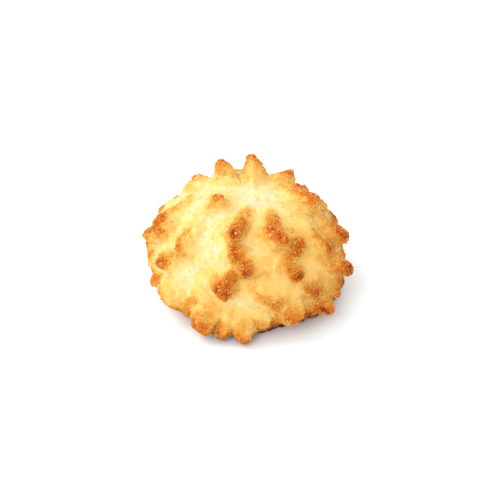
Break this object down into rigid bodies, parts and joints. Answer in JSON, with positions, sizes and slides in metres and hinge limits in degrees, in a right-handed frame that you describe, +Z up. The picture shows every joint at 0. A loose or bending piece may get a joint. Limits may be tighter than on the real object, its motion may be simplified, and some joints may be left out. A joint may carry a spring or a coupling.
{
  "type": "coconut macaroon",
  "caption": "Domed coconut macaroon with drawn-up crests, browned at their tips, standing on a flat browned underside.",
  "frame": {"origin": "middle of the flat underside, on the level that the macaroon rests on", "axes": "+Z up through the dome, -Y towards the side that the picture shows"},
  "size_m": [0.05, 0.0504, 0.0327],
  "materials": {
    "baked_coconut": "dull, coarse and slightly moist, as baked coconut paste"
  },
  "bodies": {
    "root": {"macaroon": "baked_coconut"}
  },
  "joints": []
}
